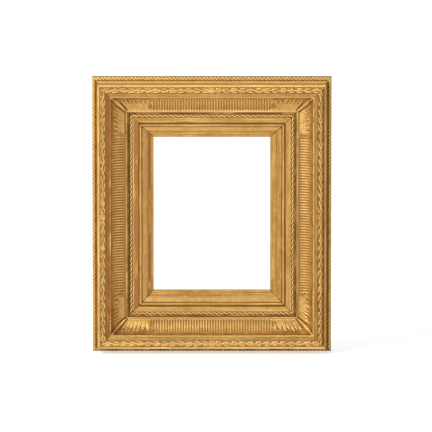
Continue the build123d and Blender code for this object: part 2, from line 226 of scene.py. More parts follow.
def add_piece(name, node, slot, material, points, rub, grime_and_shade, bright):
    """A new piece that stands for a CAD node and rides on the frame.

    rub shows the bole under the gold, the darkening amount is dirt with painted shade, and bright is
    polished gold with painted highlight."""
    mesh = closed_mesh(name, points, {"rub": rub, "grime_and_shade": grime_and_shade, "bright": bright})
    mesh.materials.append(material)
    piece = bpy.data.objects.new(name, mesh)
    bpy.context.scene.collection.objects.link(piece)
    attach(piece, "root")
    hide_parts(node)


def smoothstep(start, end, value):
    """0 up to start, 1 from end on, and a soft ramp between; start may be the larger one."""
    t = np.clip((value - start) / (end - start), 0, 1)
    return t * t * (3 - 2 * t)


def half_length(side, u):
    """Half of a mitred length at each u."""
    return side.run / 2 - u - MITRE_GAP


def mitred_rows(side, u, count):
    """x of each point of a mitred length, in evenly spaced rows, for a grid of u."""
    return np.linspace(-1, 1, count)[:, None] * half_length(side, u)


def with_back(front, back):
    """Columns of a front surface, then those of its back, which are the same on every row."""
    return np.concatenate([front, np.broadcast_to(back, (len(front), len(back)))], axis=1)


# Mouldings

ARC_POINTS = 24
SAG_POINTS = 16
SECTION_GRID = 0.7            # spacing of points round a section
MOULDING_ROWS = 121
FLAT_BACK = 4.0               # depth at the back that is left flat
HAND_WAVE = 0.12              # height of the waviness
HAND_WAVES = [(173.0, 1.0), (91.0, 0.6), (47.0, 0.4)]     # length of each wave, and its share
BAND_SOFTNESS = 0.6           # half of the soft edge of a band of wear
MITRE_DIRT = 0.3
SIGHT_MITRE_DIRT = 0.9

# How much each band of each side shows bole through the gold, painted shade, a darkening along the
# lip and painted highlight, from the outer edge inward. The painted shade and highlight differ by
# side with how the light falls, and the ridge's bole on the left side also stands for painted shade.
SCOTIA_RUB = {"bottom": 0.3, "left": 0.1, "top": 0.2, "right": 0.55}
SCOTIA_SHADE = {"bottom": 0.1, "left": 0.0, "top": 0.0, "right": 0.35}
SCOTIA_HIGHLIGHT = {"bottom": 0.0, "left": 0.0, "top": 0.9, "right": 0.0}
ARRIS_SHADE = {"bottom": 0.0, "left": 0.0, "top": 0.0, "right": 0.3}
ARRIS_HIGHLIGHT = {"bottom": 0.1, "left": 0.25, "top": 0.35, "right": 0.0}
RIDGE_BOLE_AND_SHADE = {"bottom": 0.0, "left": 0.6, "top": 0.0, "right": 0.2}
RIDGE_HIGHLIGHT = {"bottom": 0.2, "left": 0.0, "top": 0.35, "right": 0.0}
FILLET_RUB = {"bottom": 0.2, "left": 0.35, "top": 0.0, "right": 0.35}
FILLET_EDGE_SHADE = {"bottom": 0.1, "left": 0.2, "top": 0.4, "right": 0.4}
FILLET_HIGHLIGHT = {"bottom": 0.0, "left": 0.0, "top": 0.4, "right": 0.0}
QUIRK_RUB = {"bottom": 0.75, "left": 0.6, "top": 0.8, "right": 0.75}
QUIRK_SHADE = {"bottom": 0.0, "left": 0.2, "top": 0.1, "right": 0.15}
QUIRK_FOOT_SHADE = {"bottom": 0.1, "left": 0.8, "top": 0.2, "right": 0.3}
FRIEZE_RUB = {"bottom": 0.1, "left": 1.0, "top": 0.0, "right": 0.1}
FRIEZE_SHADE = {"bottom": 0.12, "left": 0.12, "top": 0.15, "right": 0.12}
GROOVE_SHADE = {"bottom": 0.5, "left": 0.25, "top": 0.5, "right": 0.45}
FASCIA_HIGHLIGHT = {"bottom": 0.3, "left": 0.3, "top": 0.35, "right": 0.0}
HOLLOW_RUB = {"bottom": 0.1, "left": 0.85, "top": 0.1, "right": 0.1}
HOLLOW_HIGHLIGHT = {"bottom": 0.6, "left": 0.7, "top": 0.6, "right": 0.2}
LIP_DARKENING = {"bottom": 0.15, "left": 0.25, "top": 0.15, "right": 0.2}


def arc(centre, radius, start, sweep):
    """Points of an arc, with its start and sweep in degrees."""
    angles = np.radians(start + sweep * np.linspace(0, 1, ARC_POINTS))
    return [(centre[0] + radius * math.cos(a), centre[1] + radius * math.sin(a)) for a in angles]


def sagged(start, end, sag):
    """Points of a shallow hollow between two points, sagging to positive u."""
    t = np.linspace(0, 1, SAG_POINTS)
    bow = 4 * sag * t * (1 - t)
    u = start[0] + (end[0] - start[0]) * t + bow
    v = start[1] + (end[1] - start[1]) * t
    return list(zip(u, v))


def soft_outline(corners):
    """Evenly spaced points round a closed outline, with its arrises a little rubbed."""
    points = np.array(corners + corners[:1], dtype=float)
    steps = np.linalg.norm(np.diff(points, axis=0), axis=1)
    along = np.concatenate([[0], np.cumsum(steps)])
    count = int(along[-1] / SECTION_GRID)
    spots = np.linspace(0, along[-1], count, endpoint=False)
    even = np.stack([np.interp(spots, along, points[:, k]) for k in range(2)], axis=-1)
    return 0.25 * np.roll(even, 1, axis=0) + 0.5 * even + 0.25 * np.roll(even, -1, axis=0)


def hand_cut(x, seed):
    """Slow waviness along a length that was planed by hand."""
    waves = [k * np.sin(2 * math.pi * x / length + seed * (1 + k)) for length, k in HAND_WAVES]
    return HAND_WAVE * sum(waves)


def in_bands(u, bands):
    """The amount at each u, from bands given as (from u, to u, amount), with soft edges."""
    most = np.zeros_like(u)
    for start, end, amount in bands:
        begun = smoothstep(start - BAND_SOFTNESS, start + BAND_SOFTNESS, u)
        not_over = smoothstep(end + BAND_SOFTNESS, end - BAND_SOFTNESS, u)
        most = np.maximum(most, amount * begun * not_over)
    return most


def moulding(kind, side, outline, material, mitre_dirt, rub, grime_and_shade, bright):
    """A mitred length of a moulding; rub, darkening (dirt with painted shade) and bright (painted
    highlight) are bands, and its mitres are open.
    """
    section = soft_outline(outline)
    u = np.broadcast_to(section[:, 0], (MOULDING_ROWS, len(section)))
    v = np.broadcast_to(section[:, 1], (MOULDING_ROWS, len(section)))
    # Rows lie closer together toward the mitres, where the dirt of the joint is.
    tau = np.sin(np.linspace(-math.pi / 2, math.pi / 2, MOULDING_ROWS))[:, None]
    half = half_length(side, u)
    x = tau * half
    front = smoothstep(V_BOARD + FLAT_BACK, V_BOARD + 2 * FLAT_BACK, v)
    points = world(side, x, u, v + front * hand_cut(x, side.turn))
    mitre_soil = mitre_dirt * np.exp(-((half - np.abs(x)) / MITRE_STAIN)**2)
    grime_and_shade = np.maximum(in_bands(u, grime_and_shade), mitre_soil)
    rub = in_bands(u, rub)
    bright = in_bands(u, bright)
    node = f"{kind}_{side.name}"
    add_piece(f"gilt_{node}", node, "gilded_moulding", material, points, rub, grime_and_shade, bright)


def edge_outline():
    hollow = sagged((U_SCOTIA, V_SCOTIA), (U_ARRIS, V_ARRIS), SCOTIA_SAG)
    foot = [(BACK_INSET, V_BOARD), (0, V_BOARD + SIDE_CHAMFER), (0, V_ROPE), (U_SCOTIA, V_ROPE)]
    return foot + hollow + [
        (U_ARRIS, V_EDGE_FILLET),
        (U_LAUREL, V_EDGE_FILLET),
        (U_LAUREL, V_LAUREL),
        (U_RIDGE_STEP, V_LAUREL),
        (U_RIDGE_STEP, V_RIDGE_STEP),
        (U_RIM, V_RIM),
        (U_RIM, V_BOARD),
    ]


def edge_moulding(side, material):
    """Outer side, hollow, seat of the laurel and slope of the ridge."""
    at = side.name
    scotia = U_SCOTIA, U_ARRIS
    arris = U_ARRIS, U_LAUREL
    slope = U_RIDGE_STEP, U_RIM
    moulding(
        "edge_moulding", side, edge_outline(), material, MITRE_DIRT,
        rub=[(*scotia, SCOTIA_RUB[at]), (*slope, RIDGE_BOLE_AND_SHADE[at])],
        grime_and_shade=[(*scotia, SCOTIA_SHADE[at]), (*arris, ARRIS_SHADE[at])],
        bright=[(*scotia, SCOTIA_HIGHLIGHT[at]), (*arris, ARRIS_HIGHLIGHT[at]), (*slope, RIDGE_HIGHLIGHT[at])],
    )


def cove_outline():
    cove = arc((U_COVE_END, V_RIDGE), WOOD_RADIUS, 180, 90)
    return [(U_RIM, V_BOARD), (U_RIM, V_RIM)] + cove + [
        (U_COVE_END, V_COVE_LOW),
        (U_QUIRK, V_COVE_LOW),
        (U_QUIRK, V_BOARD),
    ]


def cove_moulding(side, material):
    """End of the ridge's slope, bed of the lining and inner fillet."""
    at = side.name
    slope = U_RIM, U_LINING
    fillet = U_COVE_END, U_QUIRK
    fillet_edge = U_QUIRK - 1.5, U_QUIRK
    moulding(
        "cove_moulding", side, cove_outline(), material, MITRE_DIRT,
        rub=[(*slope, RIDGE_BOLE_AND_SHADE[at]), (*fillet, FILLET_RUB[at])],
        grime_and_shade=[(*fillet_edge, FILLET_EDGE_SHADE[at])],
        bright=[(*slope, RIDGE_HIGHLIGHT[at]), (*fillet, FILLET_HIGHLIGHT[at])],
    )


def sight_outline():
    bead = arc((U_BEAD + BEAD_RADIUS, V_BEAD), BEAD_RADIUS, 180, -180)
    hollow = arc((U_LIP, V_FASCIA_LOW), HOLLOW_RADIUS, 180, 90)
    return [
        (U_QUIRK, V_BOARD),
        (U_QUIRK, V_INNER_ROPE),
        (U_FRIEZE, V_INNER_ROPE),
        (U_FRIEZE, V_FRIEZE),
        (U_GROOVE, V_FRIEZE - FRIEZE_FALL),
        (U_GROOVE, V_BEAD),
    ] + bead + [
        (U_FASCIA - BEAD_STEP, V_FASCIA - BEAD_STEP),
        (U_FASCIA, V_FASCIA - BEAD_STEP),
        (U_FASCIA, V_FASCIA),
    ] + hollow + [
        (U_LIP, V_LIP),
        (U_SIGHT, V_LIP),
        (U_SIGHT, V_LEDGE),
        (U_REBATE, V_LEDGE),
        (U_REBATE, V_BOARD),
    ]


def sight_moulding(side, material):
    """Seat of the inner rope, frieze, bead, fascia, hollow, lip and rebate."""
    at = side.name
    quirk = U_QUIRK, U_INNER_ROPE
    quirk_and_seat = U_QUIRK, U_FRIEZE - 0.5
    quirk_foot = U_INNER_ROPE - 2.0, U_INNER_ROPE + 0.5
    frieze = U_FRIEZE, U_GROOVE - 2.0
    frieze_middle = U_FRIEZE + 3.0, U_GROOVE - 1.0
    groove = U_GROOVE - 1.5, U_BEAD
    fascia = U_FASCIA, U_HOLLOW - 1.5
    hollow_edge = U_HOLLOW - 1.5, U_HOLLOW + 3.0
    hollow = U_HOLLOW + 4.0, U_LIP
    lip = U_LIP, U_SIGHT + 1.0
    moulding(
        "sight_moulding", side, sight_outline(), material, SIGHT_MITRE_DIRT,
        rub=[(*quirk, QUIRK_RUB[at]), (*frieze_middle, FRIEZE_RUB[at]), (*hollow, HOLLOW_RUB[at])],
        grime_and_shade=[
            (*quirk_and_seat, QUIRK_SHADE[at]),
            (*quirk_foot, QUIRK_FOOT_SHADE[at]),
            (*frieze, FRIEZE_SHADE[at]),
            (*groove, GROOVE_SHADE[at]),
            (*lip, LIP_DARKENING[at]),
        ],
        bright=[(*fascia, FASCIA_HIGHLIGHT[at]), (*hollow_edge, HOLLOW_HIGHLIGHT[at])],
    )


# Twisted ropes

STRANDS = 3
ROPE_ROW = 0.8                # spacing of points along a rope
ROPE_COLUMNS = 40             # points round it

# lead is the length of one turn of a strand, and depth the share of the full depth that the gaps
# between strands are cut to. rub and the dirt with painted shade are by side; the latter is given for
# the outer flank, the crown and the inner flank, and is mostly painted shade on flanks that face down
# or away from the light. The gap amount is dirt and painted shade between strands. Rub shows bole,
# and on the bottom and right outer ropes it also stands for painted shade.
Rope = namedtuple("Rope", "kind u_range top lead depth gap_dirt rub dirt")
OUTER_ROPE = Rope(
    "outer_rope", (U_ROPE, U_SCOTIA), V_SCOTIA, lead=24.6, depth=0.35, gap_dirt=0.3,
    rub={"bottom": 0.6, "left": 0.0, "top": 0.0, "right": 0.25},
    dirt={
        "bottom": (0.7, 0.2, 0.3),
        "left": (0.0, 0.0, 0.25),
        "top": (0.0, 0.0, 0.0),
        "right": (0.2, 0.0, 0.1),
    },
)
INNER_ROPE = Rope(
    "inner_rope", (U_INNER_ROPE, U_FRIEZE), V_INNER_ROPE_TOP, lead=33.6, depth=0.7, gap_dirt=0.8,
    rub={"bottom": 0.0, "left": 0.0, "top": 0.0, "right": 0.0},
    dirt={
        "bottom": (0.1, 0.0, 0.2),
        "left": (0.9, 0.0, 0.1),
        "top": (0.2, 0.0, 0.1),
        "right": (0.2, 0.0, 0.2),
    },
)


def rope_strip(rope, side, material):
    """Strands wound round a straight line along a side."""
    radius = (rope.u_range[1] - rope.u_range[0]) / 2
    middle_u = (rope.u_range[0] + rope.u_range[1]) / 2
    middle_v = rope.top - radius
    strand_radius = radius * math.sin(math.pi / STRANDS) / (1 + math.sin(math.pi / STRANDS))
    offset = radius - strand_radius
    rows = int(side.run / ROPE_ROW)
    angle = np.linspace(0, 2 * math.pi, ROPE_COLUMNS, endpoint=False)[None, :]
    x = mitred_rows(side, middle_u + radius * np.cos(angle), rows)

    # bearing is the angle from the middle of the nearest strand; between is 1 in a gap.
    phase = (angle - 2 * math.pi * x / rope.lead) * STRANDS / (2 * math.pi)
    bearing = (phase - np.round(phase)) * 2 * math.pi / STRANDS
    between = np.abs(bearing) * STRANDS / math.pi
    chord = np.sqrt(np.maximum(strand_radius**2 - (offset * np.sin(bearing))**2, 0))
    full_depth = offset * np.cos(bearing) + chord
    reach = radius - rope.depth * (radius - full_depth)
    u = middle_u + reach * np.cos(angle)
    v = middle_v + reach * np.sin(angle)
    points = world(side, mitred_rows(side, u, rows), u, v)

    rub = rope.rub[side.name]
    flank_shade = np.interp(np.cos(angle), (-1, 0, 1), rope.dirt[side.name])
    grime_and_shade = np.maximum(rope.gap_dirt * smoothstep(0.45, 0.85, between), flank_shade)
    # Painted highlight on the crowns of the strands, less where bole shows
    bright = (1 - rub) * smoothstep(0.5, 0.2, between)
    node = f"{rope.kind}_{side.name}"
    add_piece(f"cast_{node}", node, "gilded_ornament", material, points, rub, grime_and_shade, bright)


# Laurel band

LAUREL_HALF = (U_LAUREL_END - U_LAUREL) / 2
LAUREL_MIDDLE = (U_LAUREL_END + U_LAUREL) / 2
LAUREL_ROW = 0.5              # spacing of points along the band
LAUREL_COLUMNS = 44           # points over its front
CUSHION_EDGE = 0.8            # height of the cushion at its edges
CUSHION_RISE = 1.9            # and its rise from there to the midline
RIBBON_HALF = 6.0             # half of the ribbon's width along the band
WRAP_RISE = 3.6
WRAP_PITCH = 4.0
WRAP_ROUND = 0.5              # how much a wrap stands out between its edges
GARLAND_PITCH = 18.0          # spacing of pairs of leaves, before it is fitted to the side
LEAF_RISE = 2.3
MIDRIB_DEPTH = 0.35
MIDRIB_WIDTH = 0.45
PAIR_LENGTH = 18.5
PAIR_HALF_WIDTH = 3.1
PAIR_ASIDE = 1.2              # distance of a leaf's foot from the midline
PAIR_LEAN = 17
CENTRE_LENGTH = 17.0
CENTRE_HALF_WIDTH = 2.4
CENTRE_ALONG = 0.45           # share of the pitch
BERRY_RADIUS = 1.6
BERRY_RISE = 1.9
BERRY_ALONG = 0.62            # share of the pitch
BERRY_ASIDE = 3.9
# Painted shade by side: all over the band, between the leaves together with dirt, and along the inner
# and outer flanks that face away from the light; then painted highlight by side
LAUREL_SHADE = {"bottom": 0.0, "left": 0.05, "top": 0.0, "right": 0.08}
LAUREL_EYE_GRIME_SHADE = {"bottom": 0.45, "left": 0.5, "top": 0.4, "right": 0.75}
LAUREL_INNER_SHADE = {"bottom": 0.0, "left": 0.5, "top": 0.3, "right": 0.0}
LAUREL_OUTER_SHADE = {"bottom": 0.0, "left": 0.0, "top": 0.0, "right": 0.5}
LAUREL_HIGHLIGHT = {"bottom": 0.2, "left": 0.0, "top": 0.15, "right": 0.0}


def dome(distance):
    """Height of a half circle of radius 1, and 0 beyond it."""
    return np.sqrt(np.clip(1 - distance**2, 0, 1))


def laurel_leaf(along, aside, length, half_width):
    """Height of one laurel leaf over its bed, at places along and beside its midrib."""
    t = np.clip(along / length, 0, 1)
    width = half_width * np.sin(math.pi * np.clip(0.06 + 0.94 * t, 0, 1) ** 0.8) ** 0.8 + 1e-6
    inside = (along > 0) & (along < length) & (np.abs(aside) < width)
    rib = MIDRIB_DEPTH * np.exp(-(aside / MIDRIB_WIDTH)**2)
    return np.where(inside, LEAF_RISE * (0.55 + 0.45 * t) * dome(aside / width) - rib, 0)


def leaf_and_berry(along, aside, own, pitch):
    """A leaf that leans outward, with a berry beside it; own makes it differ from the others."""
    lean = np.radians(PAIR_LEAN + 9 * own)
    leaf = laurel_leaf(
        along * np.cos(lean) + aside * np.sin(lean),
        -along * np.sin(lean) + aside * np.cos(lean),
        PAIR_LENGTH + 1.5 * own,
        PAIR_HALF_WIDTH + 0.4 * own,
    )
    to_berry = (along - BERRY_ALONG * pitch)**2 + (aside - BERRY_ASIDE)**2
    berry = BERRY_RISE * np.sqrt(np.clip(1 - to_berry / BERRY_RADIUS**2, 0, 1))
    return np.maximum(leaf, berry)


def garland(side, x, s):
    """Height of leaves and berries over the cushion, s beside its midline; no two quite alike."""
    length = side.run / 2 - LAUREL_MIDDLE - RIBBON_HALF
    pitch = length / round(length / GARLAND_PITCH)
    place = np.abs(x) - RIBBON_HALF
    ornament = np.zeros_like(s)
    first = np.floor(place / pitch)
    for step in (-2, -1, 0, 1):
        number = first + step
        for sign in (-1, 1):
            own = np.sin(number * 2.4 + sign * 1.3 + side.turn + np.sign(x))
            along = place - number * pitch - 2.4 * own
            aside = sign * s - PAIR_ASIDE - 0.6 * own
            ornament = np.maximum(ornament, leaf_and_berry(along, aside, own, pitch))
        own = np.sin(number * 3.1 + side.turn)
        along = place - (number + CENTRE_ALONG + 0.1 * own) * pitch
        centre_leaf = laurel_leaf(along, s - 0.5 * own, CENTRE_LENGTH, CENTRE_HALF_WIDTH)
        ornament = np.maximum(ornament, centre_leaf)
    return ornament


def ribbon(x, s):
    """Height of the slanting wraps of ribbon at the middle of the band."""
    wraps = WRAP_RISE + WRAP_ROUND * np.abs(np.cos(math.pi * (x + 0.5 * s) / WRAP_PITCH))
    return wraps * dome(s / (LAUREL_HALF + 0.3)) + CUSHION_EDGE


def laurel_grime_and_shade(side, x, s, ornament):
    """Dirt with painted shade between the leaves, and painted shade along both edges and all over,
    set by side.
    """
    at = side.name
    eyes = LAUREL_EYE_GRIME_SHADE[at] * smoothstep(0.5, 0.05, ornament) * (np.abs(x) > RIBBON_HALF)
    inner_edge = LAUREL_INNER_SHADE[at] * smoothstep(LAUREL_HALF - 2.5, LAUREL_HALF - 0.5, s)
    outer_edge = LAUREL_OUTER_SHADE[at] * smoothstep(6.5 - LAUREL_HALF, 2.5 - LAUREL_HALF, s)
    return np.maximum(eyes, LAUREL_SHADE[at] + inner_edge + outer_edge)


def laurel_band(side, material):
    """A cushion of overlapping leaves and berries that runs from a ribbon out to the corners."""
    rows = int(side.run / LAUREL_ROW)
    spread = LAUREL_HALF * np.sin(np.linspace(-math.pi / 2, math.pi / 2, LAUREL_COLUMNS))
    s = np.broadcast_to(spread, (rows, LAUREL_COLUMNS))
    x = mitred_rows(side, LAUREL_MIDDLE + s, rows)
    cushion = CUSHION_EDGE + CUSHION_RISE * dome(s / LAUREL_HALF)
    ornament = garland(side, x, s)
    bed = cushion + ornament * smoothstep(0, 2.0, LAUREL_HALF - np.abs(s))
    on_ribbon = smoothstep(0.4, -0.4, np.abs(x) - RIBBON_HALF)
    height = bed + (ribbon(x, s) - bed) * on_ribbon
    height = np.minimum(height, V_LAUREL_TOP - V_LAUREL)

    foot = LAUREL_HALF * np.array([1, 0.33, -0.33, -1])
    zeros = np.zeros_like(foot)
    u = LAUREL_MIDDLE + with_back(s, foot)
    v = V_LAUREL + with_back(height, zeros)
    points = world(side, mitred_rows(side, u, rows), u, v)
    grime_and_shade = with_back(laurel_grime_and_shade(side, x, s, ornament), zeros)
    # Painted highlight, set by side
    bright = LAUREL_HIGHLIGHT[side.name]
    node = f"laurel_band_{side.name}"
    add_piece(f"cast_{node}", node, "gilded_ornament", material, points, 0.0, grime_and_shade, bright)


# Cove lining. Angles are in degrees from the ridge down to the cove fillet.

FLUTE_PITCH = 5.86
FLUTE_WIDTH = 4.5
FLUTE_DEPTH = 1.9
FLUTE_FOOT = 1.5              # plain strip below the flutes
FLUTE_TRACE = 0.12            # share of the depth that goes on up to the ridge
FLUTE_FADE = 34, 47
FLUTE_SHADE_FADE = 30, 55
FLUTE_DULLING = 0.75          # share of the painted highlight that the middle of a flute lacks, so that the ribs keep it
ROWS_PER_FLUTE = 13
FLUTE_COLUMNS = 46
BACK_ANGLES = np.linspace(90, 0, 10)
EDGE_DEPTH = 0.5              # depth of the band along the ridge that is worn and darkened with painted shade
COVE_FOOT = 80, 86
# Painted highlight across the cove's sweep: its spread in degrees, its strength and its middle angle
# on each side
COVE_HIGHLIGHT_SPREAD = 32
COVE_HIGHLIGHT = {"bottom": 0.75, "left": 1.0, "top": 1.0, "right": 0.6}
COVE_HIGHLIGHT_AT = {"bottom": 54, "left": 52, "top": 46, "right": 52}
# Dirt with painted shade toward the cove's foot, painted shade in the flutes, bole on the ridge's
# edge and painted shade along it
COVE_FOOT_GRIME_SHADE = {"bottom": 0.0, "left": 0.5, "top": 0.0, "right": 0.45}
FLUTE_SHADE = {"bottom": 0.65, "left": 0.65, "top": 0.55, "right": 0.7}
EDGE_RUB = {"bottom": 0.0, "left": 0.8, "top": 0.0, "right": 0.3}
EDGE_SHADE = {"bottom": 0.1, "left": 0.0, "top": 0.25, "right": 0.15}


def cove_place(radius, angle):
    """u and v on the cove."""
    turn = np.radians(angle)
    return U_COVE_END - radius * np.cos(turn), V_RIDGE - radius * np.sin(turn)


def lining_section(radius, angle):
    """u and v of a lining: its front at a radius of its own for each point, then its back."""
    front_u, front_v = cove_place(radius, angle)
    back_u, back_v = cove_place(WOOD_RADIUS, BACK_ANGLES)
    return with_back(front_u, back_u), with_back(front_v, back_v)


def cove_highlight(side, angle):
    """Painted highlight in the middle of the cove's sweep, placed and sized by side."""
    off_middle = (angle - COVE_HIGHLIGHT_AT[side.name]) / COVE_HIGHLIGHT_SPREAD
    return COVE_HIGHLIGHT[side.name] * np.exp(-off_middle**2)


def lining_wear_and_painted_light(side, angle, v, dirt, polish_and_highlight):
    """rub, darkening and bright of a lining: those of its front, and those of the cove's two edges.
    The darkening is dirt with painted shade, and bright is painted highlight.
    """
    clean_back = np.zeros_like(BACK_ANGLES)
    foot_grime_shade = COVE_FOOT_GRIME_SHADE[side.name] * smoothstep(*COVE_FOOT, angle)
    grime_and_shade = with_back(np.maximum(dirt, foot_grime_shade), clean_back)
    edge = smoothstep(EDGE_DEPTH, 0.0, V_RIDGE - v)
    grime_and_shade = np.maximum(grime_and_shade, EDGE_SHADE[side.name] * edge)
    return EDGE_RUB[side.name] * edge, grime_and_shade, with_back(polish_and_highlight, clean_back)


def flute_strip(side, material):
    """The lining between two corner leaves; its flutes fade to a trace half way up to the ridge."""
    field = FLUTE_FIELD["left" if side.name in ("left", "right") else "bottom"]
    count = round(field / FLUTE_PITCH)
    pitch = field / count
    x = np.linspace(-field / 2, field / 2, count * ROWS_PER_FLUTE)[:, None]
    angle = np.linspace(0, 90, FLUTE_COLUMNS)[None, :]

    # inside is 1 in the middle of a flute and 0 on the ribs, with a round end at its foot.
    off_middle = (x / pitch + count / 2) % 1 * pitch - pitch / 2
    to_foot = math.radians(90) * COVE_RADIUS - FLUTE_FOOT - np.radians(angle) * COVE_RADIUS
    overshoot = np.clip(FLUTE_WIDTH / 2 - to_foot, 0, None)
    inside = np.clip(1 - (off_middle**2 + overshoot**2) / (FLUTE_WIDTH / 2)**2, 0, 1)
    share = FLUTE_TRACE + (1 - FLUTE_TRACE) * smoothstep(*FLUTE_FADE, angle)
    u, v = lining_section(COVE_RADIUS + FLUTE_DEPTH * np.sqrt(inside) * share, angle)
    points = world(side, np.broadcast_to(x, u.shape), u, v)

    # Painted highlight across the cove's sweep, kept on the ribs, and painted shade inside the flutes
    # over the lower part of the cove
    polish_and_highlight = cove_highlight(side, angle) * (1 - FLUTE_DULLING * inside**2)
    dirt = FLUTE_SHADE[side.name] * inside**3 * smoothstep(*FLUTE_SHADE_FADE, angle)
    wear_and_painted_light = lining_wear_and_painted_light(side, angle, v, dirt, polish_and_highlight)
    node = f"flute_strip_{side.name}"
    add_piece(f"cast_{node}", node, "gilded_ornament", material, points, *wear_and_painted_light)


# Corner leaves. rise is a share of the cove's arc, from its foot to the ridge.

LEAF_REACH = (WIDTH - FLUTE_FIELD["bottom"]) / 2 - U_COVE_END
LEAF_FLOOR = 2.6              # leaf's ground over the wood of the cove
LEAF_MEAN = 1.5               # middle height of the leaf over the lining
LEAF_ROWS = 210               # points along an arm
LEAF_COLUMNS = 96             # points up its front
LEAF_TOP = 0.6                # share of the cove's arc that the lobes reach up to
LEAF_CLIMB = 28               # about the length of that share
LOBE_HEIGHT = 2.4
LOBE_FEET = [4.0, 11.0, 18.0, 25.0, 33.0, 41.5, 50.0]
LOBE_TIPS = [-9.0, -1.0, 7.0, 15.5, 25.0, 36.0, 48.0]
LOBE_REACH = [1.0, 0.9, 1.02, 0.88, 1.0, 0.84, 0.9]
END_LOBE = 9                  # spacing beyond the first and the last lobe
EYE_UP = 0.62                 # height of the drilled eyes between lobes, as a share of the climb
EYE_RADIUS = 1.3
VOLUTE_UP = 0.35
VOLUTE_INSET = 5.0            # from the end of the arm
RING_RADIUS = 3.2
RING_WIDTH = 1.1
RING_HEIGHT = 2.2
BUTTON_RADIUS = 1.2
BUTTON_HEIGHT = 1.8
HUSK_HEIGHT = 4.8
HUSK_HALF_WIDTH = 4.2
# Painted highlight on the leaf and on the crest of the husk, and painted shade in the channel beside
# the husk
LEAF_HIGHLIGHT = 0.3
HUSK_HIGHLIGHT = 0.9
CHANNEL_SHADE = 0.6


def volute_height(end, up):
    """A ring with a button in it, near the end of an arm."""
    scroll = np.hypot(end - VOLUTE_INSET, (up - VOLUTE_UP) * LEAF_CLIMB)
    ring = RING_HEIGHT * np.exp(-((scroll - RING_RADIUS) / RING_WIDTH)**2)
    return ring + BUTTON_HEIGHT * np.exp(-(scroll / BUTTON_RADIUS)**2)


def leaf_surface(past, rise):
    """Leaf height over its ground, past the foot of the mitre."""
    up = np.clip(rise / LEAF_TOP, 0, 1.2)
    centres = [foot + (tip - foot) * up**1.3 for foot, tip in zip(LOBE_FEET, LOBE_TIPS)]
    swell = 0.35 + 0.65 * np.sin(math.pi * np.clip(0.12 + 0.7 * up, 0, 1))
    parting = 0.2 + 0.65 * smoothstep(0.45, 0.95, up)
    height = np.zeros_like(past)
    for number, centre in enumerate(centres):
        before = centres[number - 1] if number else centre - END_LOBE
        after = centres[number + 1] if number + 1 < len(centres) else centre + END_LOBE
        half = np.where(past < centre, centre - before, after - centre) / 2
        off = np.abs(past - centre) / half
        round_tip = LOBE_REACH[number] - 0.2 * off**2
        lobe = swell * (1 - parting * np.clip(off, 0, 1)**2.6)
        lobe = lobe * smoothstep(0.05, -0.05, up - round_tip)
        vein = 0.3 * np.exp(-(off * half / 0.7)**2) + 0.08 * np.cos(2 * math.pi * off * half / 2.1)
        height = np.where(off <= 1, LOBE_HEIGHT * lobe - vein * lobe, height)
        to_eye = (past - (centre + half))**2 + ((up - EYE_UP) * LEAF_CLIMB)**2
        height = height - np.exp(-to_eye / EYE_RADIUS**2)
    end = LEAF_REACH - past
    return height * smoothstep(0.5, 3.0, end) + volute_height(end, up)


def husk_height(past, rise, outward):
    """Pointed husk that lies along the mitre, and how open the channel beside it is."""
    beside = (past + outward) / math.sqrt(2)
    width = HUSK_HALF_WIDTH * np.sin(math.pi * np.clip(0.12 + 0.8 * rise, 0, 1)) ** 0.7 + 1e-6
    body = dome(beside / width)
    channel = smoothstep(0.4, 2.8, beside - width)
    rib = 0.5 * np.exp(-(beside / 0.7)**2)
    return HUSK_HEIGHT * body - rib * body, channel


def past_mitre(outward):
    """Places from the mitre to the flutes, for points that lie this far outward of the cove's end."""
    tau = np.linspace(0, 1, LEAF_ROWS)[:, None]
    return -outward + tau * (LEAF_REACH + outward)


def leaf_arm(side, end):
    """Points, wear and painted light of one arm, from the mitre to the flutes; end is -1 or 1 along
    the side.
    """
    angle = np.linspace(0, 90, LEAF_COLUMNS)[None, :]
    outward = U_COVE_END - cove_place(COVE_RADIUS - LEAF_MEAN, angle)[0]
    past = past_mitre(outward)
    rise = np.broadcast_to(1 - angle / 90, past.shape)
    husk, channel = husk_height(past, rise, outward)
    height = LEAF_FLOOR + np.maximum(leaf_surface(past, rise) * channel, husk)
    u, v = lining_section(WOOD_RADIUS - height, angle)
    x = end * (side.run / 2 - U_COVE_END - past_mitre(U_COVE_END - u))

    # Painted highlight on the crest of the husk and over the middle of the cove, and painted shade in
    # the channel beside it
    polish_and_highlight = HUSK_HIGHLIGHT * smoothstep(0.75, 0.95, husk / HUSK_HEIGHT)
    polish_and_highlight = np.maximum(polish_and_highlight, LEAF_HIGHLIGHT * cove_highlight(side, angle))
    dirt = CHANNEL_SHADE * smoothstep(0.5, 0.0, channel) * smoothstep(1.0, 0.3, husk)
    return world(side, x, u, v), *lining_wear_and_painted_light(side, angle, v, dirt, polish_and_highlight)


def corner_leaf(name, near_side, far_side, material):
    """One leaf folded over the mitre, lobed to both sides of its husk."""
    arms = zip(leaf_arm(near_side, -1), leaf_arm(far_side, 1))
    joined = [np.concatenate([near[::-1], far[1:]], axis=0) for near, far in arms]
    node = f"corner_leaf_{name}"
    add_piece(f"cast_{node}", node, "gilded_ornament", material, *joined)


# Materials

GOLD = (0.53, 0.305, 0.087)
GOLD_PALE = (0.66, 0.43, 0.152)
GOLD_DEEP = (0.40, 0.20, 0.045)
# Colour of burnished streaks and of painted highlight
GOLD_BURNISH_HIGHLIGHT = (0.97, 0.65, 0.235)
BOLE = (0.35, 0.14, 0.036)
BARE_BOLE = (0.46, 0.22, 0.078)
